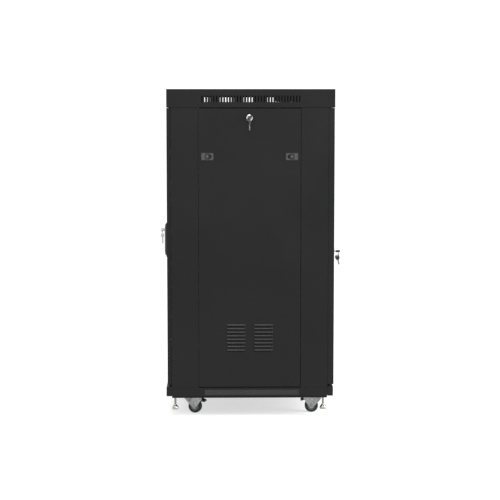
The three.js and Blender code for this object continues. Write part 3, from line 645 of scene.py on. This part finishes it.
key_mid = middle_mm("front_door_key")
front_flat = facing((0, -1, 0), (key_mid.x, -300.0, key_mid.z))
bow_flat = front_flat @ Matrix.Rotation(math.pi / 2, 4, "Z") @ KEY_PLANE
front_key = plate("front_key_bow", [ring_outline(6.9, 32, (16.5, 0)), ring_outline(2.4, 16, (18.6, 0))], 2.0,
                  bow_flat @ Matrix.Translation((0, 0, -1.0)), KEY_METAL, "front_key", 0.3)
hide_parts("front_door_key")
plate("front_key_neck", [blade_outline(11.0, 5.6, 6.4)], 1.9, bow_flat @ Matrix.Translation((0, 0, -0.95)),
      KEY_METAL, "front_key", 0.2)
ring_at = Matrix.Translation(Vector((key_mid.x, -318.0, key_mid.z - 7.0)) * MM)
key_ring("front_key_ring", ring_at @ Matrix.Rotation(math.radians(8), 4, "Z")
         @ Matrix.Rotation(math.pi / 2, 4, "X") @ Matrix.Scale(MM, 4), 7.6, "front_key")
spare_at = hanging((key_mid.x, -317.2, key_mid.z - 14.6), math.radians(70))
spare_key("front_spare_key", spare_at, "front_key", KEY_METAL, (7.6, 6.0, 2.0), 24.0, 0.3)

# ---------------------------------------------------------------- side panels: latches and louvres

LATCH_TRAVEL = 8.0
LATCH_REACH = 150.5
HOOD_SECTION = ((4.4, 0.0), (3.2, 1.3), (1.4, 2.5), (-0.6, 3.3), (-1.9, 3.5), (-2.2, 3.1), (-1.9, 2.6),
                (-0.4, 2.3), (1.4, 1.5), (2.8, 0.4), (3.2, 0.0))
HOOD_STEPS = ((-1.0, 0.0), (-0.985, 0.42), (-0.95, 0.72), (-0.91, 0.9), (-0.86, 0.98), (-0.8, 1.0),
              (0.0, 1.0), (0.8, 1.0), (0.86, 0.98), (0.91, 0.9), (0.95, 0.72), (0.985, 0.42), (1.0, 0.0))


def louvre_hood(shape, place, half_length):
    """A pressed louvre: a shallow hood over its slot, closed at both rounded ends."""
    loops = []
    for along, swell in HOOD_STEPS:
        loop = []
        for y, z in HOOD_SECTION:
            rise = 0.05 + z * swell
            lift = y if y > 2.0 else 2.0 + (y - 2.0) * (0.35 + 0.65 * swell)
            loop.append(shape.verts.new(place @ Vector((along * half_length, lift, rise))))
        loops.append(loop)
    for near, far in zip(loops, loops[1:]):
        for i in range(len(near)):
            j = (i + 1) % len(near)
            shape.faces.new([near[i], near[j], far[j], far[i]])
    shape.faces.new(loops[0])
    shape.faces.new(list(reversed(loops[-1])))


def slide_latch_housing(name, place, body):
    """The fixed frame round a sliding knob. The notch in its inner block leaves the knob its travel."""
    rim = [rounded_outline(-23, 23, -14, 14, 2.0), rounded_outline(-21.2, 21.2, -12.2, 12.2, 1.2)]
    plate(f"{name}_rim", rim, 1.3, place, LATCH_DARK, body, 0.3)
    path = rounded_outline(-6.6, 6.6 + LATCH_TRAVEL, -6.6, 6.6, 6.0)
    plate(f"{name}_bed", [box_outline(-21.3, 21.3, -12.3, 12.3), path], 0.5, place, PLASTIC, body)
    outer = [rounded_outline(-20.8, -9.2, -11.6, 11.6, 1.0)]
    plate(f"{name}_outer_block", outer, 2.0, place, LATCH_METAL, body, 0.35)
    notch = [(8.2, -11.6), (20.6, -11.6), (20.6, 11.6), (8.2, 11.6), (8.2, 7.2), (13.0, 7.2), (15.2, 5.2),
             (15.2, -5.2), (13.0, -7.2), (8.2, -7.2)]
    plate(f"{name}_inner_block", [notch], 2.0, place, LATCH_METAL, body, 0.35)


for side_name, sign in SIDES:
    body = f"side_panel_{side_name}"
    centre_y = middle_mm(body).y
    for end_name, end in (("front", -1), ("rear", 1)):
        low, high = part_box(f"slide_latch_{end_name}_{side_name}")
        knob_z = (low[2] + high[2]) / 2 / MM
        knob_y = centre_y + end * LATCH_REACH
        turn = 0.0 if end * sign < 0 else math.pi
        spot = facing((sign, 0, 0), ((PANEL_FACE_X + 0.05) * sign, knob_y, knob_z), turn)
        slide_latch_housing(f"latch_housing_{end_name}_{side_name}", spot, body)
    hoods = bmesh.new()
    for column in (-LOUVRE_MIDDLE, LOUVRE_MIDDLE):
        for row in range(LOUVRE_ROWS):
            height = LOUVRE_BOTTOM + row * LOUVRE_PITCH + 2.0
            spot = facing((sign, 0, 0), (PANEL_FACE_X * sign, centre_y + column * sign, height))
            louvre_hood(hoods, spot, LOUVRE_HALF)
    from_bmesh(f"louvre_hoods_{side_name}", hoods, HOOD_COAT, body, True)

# ---------------------------------------------------------------- 19-inch rails

RAIL_HOLE_X = 232.55
RACK_UNITS = 22
UNIT_HEIGHT = 44.45
HOLE_STEPS = (6.35, 22.225, 38.1)
HOLE_HALF = 4.75
RAIL_SHEET = 2.0
SIDE_HOLES = 24


def rack_rail(node, inward):
    """Folded rail: square holes at the 19-inch spacing in its face, round holes in its side."""
    low, high = [[v / MM for v in corner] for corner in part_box(node)]
    sign = 1 if low[0] > 0 else -1
    face_y = low[1] if inward > 0 else high[1]
    start = low[2] + ((high[2] - low[2]) - RACK_UNITS * UNIT_HEIGHT) / 2
    spot = facing((0, -inward, 0), (0, face_y + inward * RAIL_SHEET, 0))
    to_local = sign * (1 if inward > 0 else -1)
    near, far = sorted((to_local * abs(low[0]), to_local * abs(high[0])))
    outlines = [box_outline(near, far, low[2], high[2])]
    middle = to_local * RAIL_HOLE_X
    for unit in range(RACK_UNITS):
        for step in HOLE_STEPS:
            at = start + unit * UNIT_HEIGHT + step
            outlines.append(box_outline(middle - HOLE_HALF, middle + HOLE_HALF,
                                        at - HOLE_HALF, at + HOLE_HALF))
    mesh = flat_mesh(outlines, RAIL_SHEET, spot)
    leg_x = sign * (max(abs(low[0]), abs(high[0])))
    leg_spot = facing((sign, 0, 0), (leg_x - sign * RAIL_SHEET, 0, 0))
    leg_low = low[1] if inward < 0 else low[1] + RAIL_SHEET
    leg_high = high[1] - RAIL_SHEET if inward < 0 else high[1]
    ys = sorted((sign * leg_low, sign * leg_high))
    leg = [box_outline(ys[0], ys[1], low[2], high[2])]
    for i in range(SIDE_HOLES):
        at = low[2] + (high[2] - low[2]) * (i + 0.5) / SIDE_HOLES
        leg.append(ring_outline(4.0, 12, ((ys[0] + ys[1]) / 2, at)))
    leg_mesh = flat_mesh(leg, RAIL_SHEET, leg_spot)
    shape = bmesh.new()
    shape.from_mesh(mesh)
    shape.from_mesh(leg_mesh)
    bpy.data.meshes.remove(mesh)
    bpy.data.meshes.remove(leg_mesh)
    rail = from_bmesh(f"{node}_punched", shape, RAIL_METAL, "cabinet")
    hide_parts(node)


for side_name, _ in SIDES:
    rack_rail(f"front_rack_rail_{side_name}", 1)
    rack_rail(f"rear_rack_rail_{side_name}", -1)

# ---------------------------------------------------------------- fans

BLADES = 7
BLADE_ROOT = 19.0
BLADE_LENGTH = 34.0
GUARD_RADII = (12.0, 20.0, 28.0, 36.0, 44.0, 52.6)
GUARD_Z = 1181.6


def fan_blades(shape, middle, low_z, high_z):
    """Seven swept blades between the hub and the housing's bore."""
    for blade in range(BLADES):
        grid = []
        for i in range(9):
            radius = BLADE_ROOT + BLADE_LENGTH * i / 8
            row = []
            for k in range(6):
                along = k / 5
                sweep = 0.32 * math.sin(math.pi * i / 16) + (along - 0.5) * (0.86 - 0.03 * i)
                angle = 2 * math.pi * blade / BLADES + sweep
                rise = low_z + 1.0 + (high_z - low_z - 2.0) * (along ** 1.25)
                row.append((radius * math.cos(angle), radius * math.sin(angle), rise))
            grid.append(row)
        for offset, flip in ((0.0, False), (-1.4, True)):
            verts = []
            for row in grid:
                verts.append([shape.verts.new((middle.x + x, middle.y + y, z + offset)) for x, y, z in row])
            for i in range(8):
                for k in range(5):
                    face = [verts[i][k], verts[i + 1][k], verts[i + 1][k + 1], verts[i][k + 1]]
                    shape.faces.new(list(reversed(face)) if flip else face)
            if offset == 0.0:
                top = verts
        rim = [(0, k) for k in range(6)] + [(i, 5) for i in range(1, 9)]
        rim += [(8, k) for k in range(4, -1, -1)] + [(i, 0) for i in range(7, 0, -1)]
        for n in range(len(rim)):
            a = rim[n]
            b = rim[(n + 1) % len(rim)]
            shape.faces.new([top[a[0]][a[1]], top[b[0]][b[1]], verts[b[0]][b[1]], verts[a[0]][a[1]]])


FAN_HUB = ((0, 0.2), (15.0, 0.2), (18.6, 1.2), (20.0, 3.4), (20.0, 23.0), (0, 23.0))

for side_name, _ in SIDES:
    node = f"fan_rotor_{side_name}"
    low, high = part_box(node)
    hub_mid = middle_mm(f"fan_housing_{side_name}")
    low_z = low[2] / MM
    high_z = high[2] / MM
    shape = bmesh.new()
    fan_blades(shape, hub_mid, low_z, high_z)
    add_turned(shape, [(r, high_z - low_z - h) for r, h in FAN_HUB],
               Matrix.Translation((hub_mid.x, hub_mid.y, low_z)), 40)
    place_shape(shape, Matrix.Scale(MM, 4))
    rotor = from_bmesh(f"{node}_bladed", shape, PLASTIC, node, True)
    rotor.data.set_sharp_from_angle(angle=math.radians(35))
    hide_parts(node)
    guard = bmesh.new()
    guard_at = Matrix.Translation(Vector((hub_mid.x, hub_mid.y, GUARD_Z)) * MM) @ Matrix.Scale(MM, 4)
    for radius in GUARD_RADII:
        wire_ring(guard, radius, 0.8, guard_at, 48, 8)
    for quarter in range(4):
        spoke = guard_at @ Matrix.Rotation(math.pi / 4 + quarter * math.pi / 2, 4, "Z")
        spoke = spoke @ Matrix.Translation((11.6, 0, -0.9)) @ Matrix.Rotation(math.pi / 2, 4, "Y")
        add_turned(guard, [(0, 0), (0.9, 0), (0.9, 42.0), (0, 42.0)], spoke, 8)
    from_bmesh(f"fan_guard_{side_name}", guard, CHROME_WIRE, "cabinet", True)

# ---------------------------------------------------------------- terminal box between the cover's vents

TERMINAL_X = 70.0
TERMINAL_Y = (16.0, 60.0)
LID_LAP = 1.5
terminal = bmesh.new()
add_block(terminal, (-TERMINAL_X, TERMINAL_Y[0], 1140.0), (TERMINAL_X, TERMINAL_Y[1], 1179.7))
add_block(terminal, (-TERMINAL_X - LID_LAP, TERMINAL_Y[0] - LID_LAP, 1136.5),
          (TERMINAL_X + LID_LAP, TERMINAL_Y[1] + LID_LAP, 1140.2))
place_shape(terminal, Matrix.Scale(MM, 4))
terminal_box = from_bmesh("fan_terminal_box", terminal, PLASTIC, "cabinet")
soften(terminal_box, 1.0 * MM)
terminal_screws = []
for x in (-64.0, 64.0):
    for y in (22.0, 54.0):
        terminal_screws.append(facing((0, 0, -1), (x, y, 1136.6)))
add_screws("terminal_box_screws", terminal_screws, 2.6, 1.6, ZINC, "cabinet")

# ---------------------------------------------------------------- perforated strips on the base

CELL = 3.2
STRIP_Y = (-166.0, 176.0)
STRIP_Z = (84.0, 103.5)
HOLE_RADIUS = 0.95


def perforated_cell(shape, x, y, size, hole, place):
    outer = []
    inner = []
    for i in range(8):
        angle = math.pi / 4 * i
        c = math.cos(angle)
        s = math.sin(angle)
        stretch = (size / 2) / max(abs(c), abs(s))
        outer.append(shape.verts.new(place @ Vector((x + c * stretch, y + s * stretch, 0.7))))
        inner.append(shape.verts.new(place @ Vector((x + c * hole, y + s * hole, 0.7))))
    for i in range(8):
        j = (i + 1) % 8
        shape.faces.new([outer[i], outer[j], inner[j], inner[i]])


for side_name, sign in SIDES:
    spot = facing((sign, 0, 0), (PANEL_FACE_X * sign, 0, 0))
    across = sorted((STRIP_Y[0] * sign, STRIP_Y[1] * sign))
    columns = int((across[1] - across[0]) / CELL)
    rows = int((STRIP_Z[1] - STRIP_Z[0]) / CELL)
    strip = bmesh.new()
    for column in range(columns):
        for row in range(rows):
            x = across[0] + (column + 0.5) * CELL
            y = STRIP_Z[0] + (row + 0.5) * CELL
            perforated_cell(strip, x, y, CELL, HOLE_RADIUS, spot)
    bmesh.ops.remove_doubles(strip, verts=strip.verts, dist=0.00001)
    mesh_strip = from_bmesh(f"base_mesh_{side_name}", strip, MESH_COAT, "cabinet")
    wall = mesh_strip.modifiers.new("wall", "SOLIDIFY")
    wall.thickness = 0.5 * MM
    wall.offset = 0.0

# ---------------------------------------------------------------- glass seal, screws and hinge collars

SEAL_Y = -297.75
PRINT_Y = -293.65
SCREW_SEAT_Z = 1182.1
SCREW_FROM_FAN = 52.5
FRAME_FACE_Y = -284.6

window = [[v / MM for v in corner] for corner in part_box("front_door_glass")]
lap = 14.0
seal = [rounded_outline(window[0][0] + lap - 1, window[1][0] - lap + 1, window[0][2] + lap - 1,
                        window[1][2] - lap + 1, 3.0),
        rounded_outline(window[0][0] + lap + 5, window[1][0] - lap - 5, window[0][2] + lap + 5,
                        window[1][2] - lap - 5, 4.0)]
plate("window_seal", seal, 2.4, facing((0, -1, 0), (0, SEAL_Y, 0)), RUBBER, "front_door", 0.6)
band = [rounded_outline(window[0][0] + 1, window[1][0] - 1, window[0][2] + 1, window[1][2] - 1, 2.0),
        rounded_outline(window[0][0] + 40, window[1][0] - 40, window[0][2] + 40, window[1][2] - 40, 8.0)]
plate("glass_border_print", band, 0.25, facing((0, 1, 0), (0, PRINT_Y, 0)), FRIT, "front_door")

roof_screws = []
for x in (-282.0, 282.0):
    for y in (-282.0, 282.0):
        roof_screws.append(facing((0, 0, 1), (x, y, SCREW_SEAT_Z)))
fan_screws = []
for side_name, _ in SIDES:
    fan_mid = middle_mm(f"fan_housing_{side_name}")
    for dx in (-SCREW_FROM_FAN, SCREW_FROM_FAN):
        for dy in (-SCREW_FROM_FAN, SCREW_FROM_FAN):
            fan_screws.append(facing((0, 0, 1), (fan_mid.x + dx, fan_mid.y + dy, SCREW_SEAT_Z)))
add_screws("roof_screws", roof_screws, 4.5, 0.7, ZINC, "cabinet")
add_screws("fan_screws", fan_screws, 3.6, 0.8, ZINC, "cabinet")
frame_screws = []
for x in (-272.0, 272.0):
    for z in (160.0, 640.0, 1070.0):
        frame_screws.append(facing((0, -1, 0), (x, FRAME_FACE_Y, z)))
add_screws("frame_screws", frame_screws, 4.0, 1.6, ZINC, "cabinet")

HINGE_COLLAR = ((3.2, 0), (5.2, 0), (5.6, 0.14), (5.6, 0.84), (5.2, 0.98), (3.2, 0.98))
HINGE_X = -291.0
for door_name, axis_y in (("front_door", -291.3), ("rear_door", 283.1)):
    for end_name, z in (("lower", 118.4), ("upper", 1116.6)):
        closed_turned(f"{door_name}_{end_name}_collar", HINGE_COLLAR,
                      facing((0, 0, 1), (HINGE_X, axis_y, z)), PLASTIC, door_name, 32)

# ---------------------------------------------------------------- seals under the roof

UPPER_SEAL_HEIGHT = 9.0
HEAD_SEALS = (("front", -296.8, -285.0), ("rear", 278.0, 296.8))

for side_name, _ in SIDES:
    low, high = [[v / MM for v in corner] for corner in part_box(f"upper_depth_rail_{side_name}")]
    shape = bmesh.new()
    add_block(shape, (low[0] + 3.0, low[1] + 1.0, high[2] + 0.05),
              (high[0] - 3.0, high[1] - 1.0, high[2] + UPPER_SEAL_HEIGHT))
    place_shape(shape, Matrix.Scale(MM, 4))
    strip = from_bmesh(f"upper_seal_{side_name}", shape, RUBBER, "cabinet")
    soften(strip, 1.5 * MM, 3)

for end_name, seal_low_y, seal_high_y in HEAD_SEALS:
    shape = bmesh.new()
    add_block(shape, (-262.0, seal_low_y, 1116.8), (290.0, seal_high_y, 1119.4))
    place_shape(shape, Matrix.Scale(MM, 4))
    strip = from_bmesh(f"door_head_seal_{end_name}", shape, RUBBER, "cabinet")
    soften(strip, 0.5 * MM)

# ---------------------------------------------------------------- corner gussets behind the base joints

for corner in CORNERS:
    stand = middle_mm(f"levelling_foot_{corner}")
    sign = 1 if stand.x > 0 else -1
    end = 1 if stand.y > 0 else -1
    seam = 276.4 if end > 0 else -284.6
    shape = bmesh.new()
    xs = sorted((sign * 288.0, sign * 294.8))
    ys = sorted((seam - end * 7.0, seam + end * 7.0))
    add_block(shape, (xs[0], ys[0], 80.6), (xs[1], ys[1], 110.6))
    place_shape(shape, Matrix.Scale(MM, 4))
    gusset = from_bmesh(f"base_gusset_{corner}", shape, COAT, "cabinet")
    soften(gusset, 0.6 * MM)

# ---------------------------------------------------------------- floor, light and camera


def make_floor():
    """A pale plane that reaches past everything any view can see."""
    shape = bmesh.new()
    bmesh.ops.create_grid(shape, x_segments=1, y_segments=1, size=60.0)
    mesh = bpy.data.meshes.new("studio_floor")
    shape.to_mesh(mesh)
    shape.free()
    mesh.materials.append(pale_floor())
    floor = bpy.data.objects.new("studio_floor", mesh)
    bpy.context.scene.collection.objects.link(floor)


def soft_light(name, place, toward, size, power):
    light = bpy.data.lights.new(name, "AREA")
    light.shape = "RECTANGLE"
    light.size = size[0]
    light.size_y = size[1]
    light.energy = power
    lamp = bpy.data.objects.new(name, light)
    bpy.context.scene.collection.objects.link(lamp)
    away = Vector(place) - Vector(toward)
    lamp.matrix_world = aim(Vector(place), away)


make_floor()
soft_light("key_light", (2.3, -0.4, 2.7), (0.3, 0.0, 1.0), (1.6, 1.2), 40)
soft_light("rear_light", (0.9, 2.6, 1.3), (0.3, 0.2, 0.8), (0.8, 1.4), 95)
soft_light("top_light", (0.9, 0.0, 3.0), (0.4, 0.0, 0.4), (1.4, 1.8), 28)

world = bpy.data.worlds.new("white_room")
world.use_nodes = True
world.node_tree.nodes["Background"].inputs["Color"].default_value = (1, 1, 1, 1)
world.node_tree.nodes["Background"].inputs["Strength"].default_value = 1.3
bpy.context.scene.world = world
bpy.context.scene.view_settings.view_transform = "Standard"

# The eye is a little below the cover, slightly toward the front, and looks at the right side.
EYE = Vector((5.098, -0.088, 1.1))
VIEW_CENTRE = (-0.003, 0.61)
SHIFT_Y = -0.04
LENS = 97.1
SENSOR = 36.0

camera_data = bpy.data.cameras.new("camera")
camera_data.lens = LENS
camera_data.sensor_width = SENSOR
camera_data.shift_y = SHIFT_Y
camera = bpy.data.objects.new("camera", camera_data)
bpy.context.scene.collection.objects.link(camera)
bpy.context.scene.camera = camera
side_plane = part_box("side_panel_right")[1][0]
reach = EYE.x - side_plane
drop = EYE.z - VIEW_CENTRE[1]
yaw = math.atan((VIEW_CENTRE[0] - EYE.y) / reach)
pitch = math.atan(drop / reach) + math.atan(SHIFT_Y * SENSOR / LENS)
camera.location = EYE
camera.rotation_euler = (math.pi / 2 - pitch, 0, math.pi / 2 - yaw)
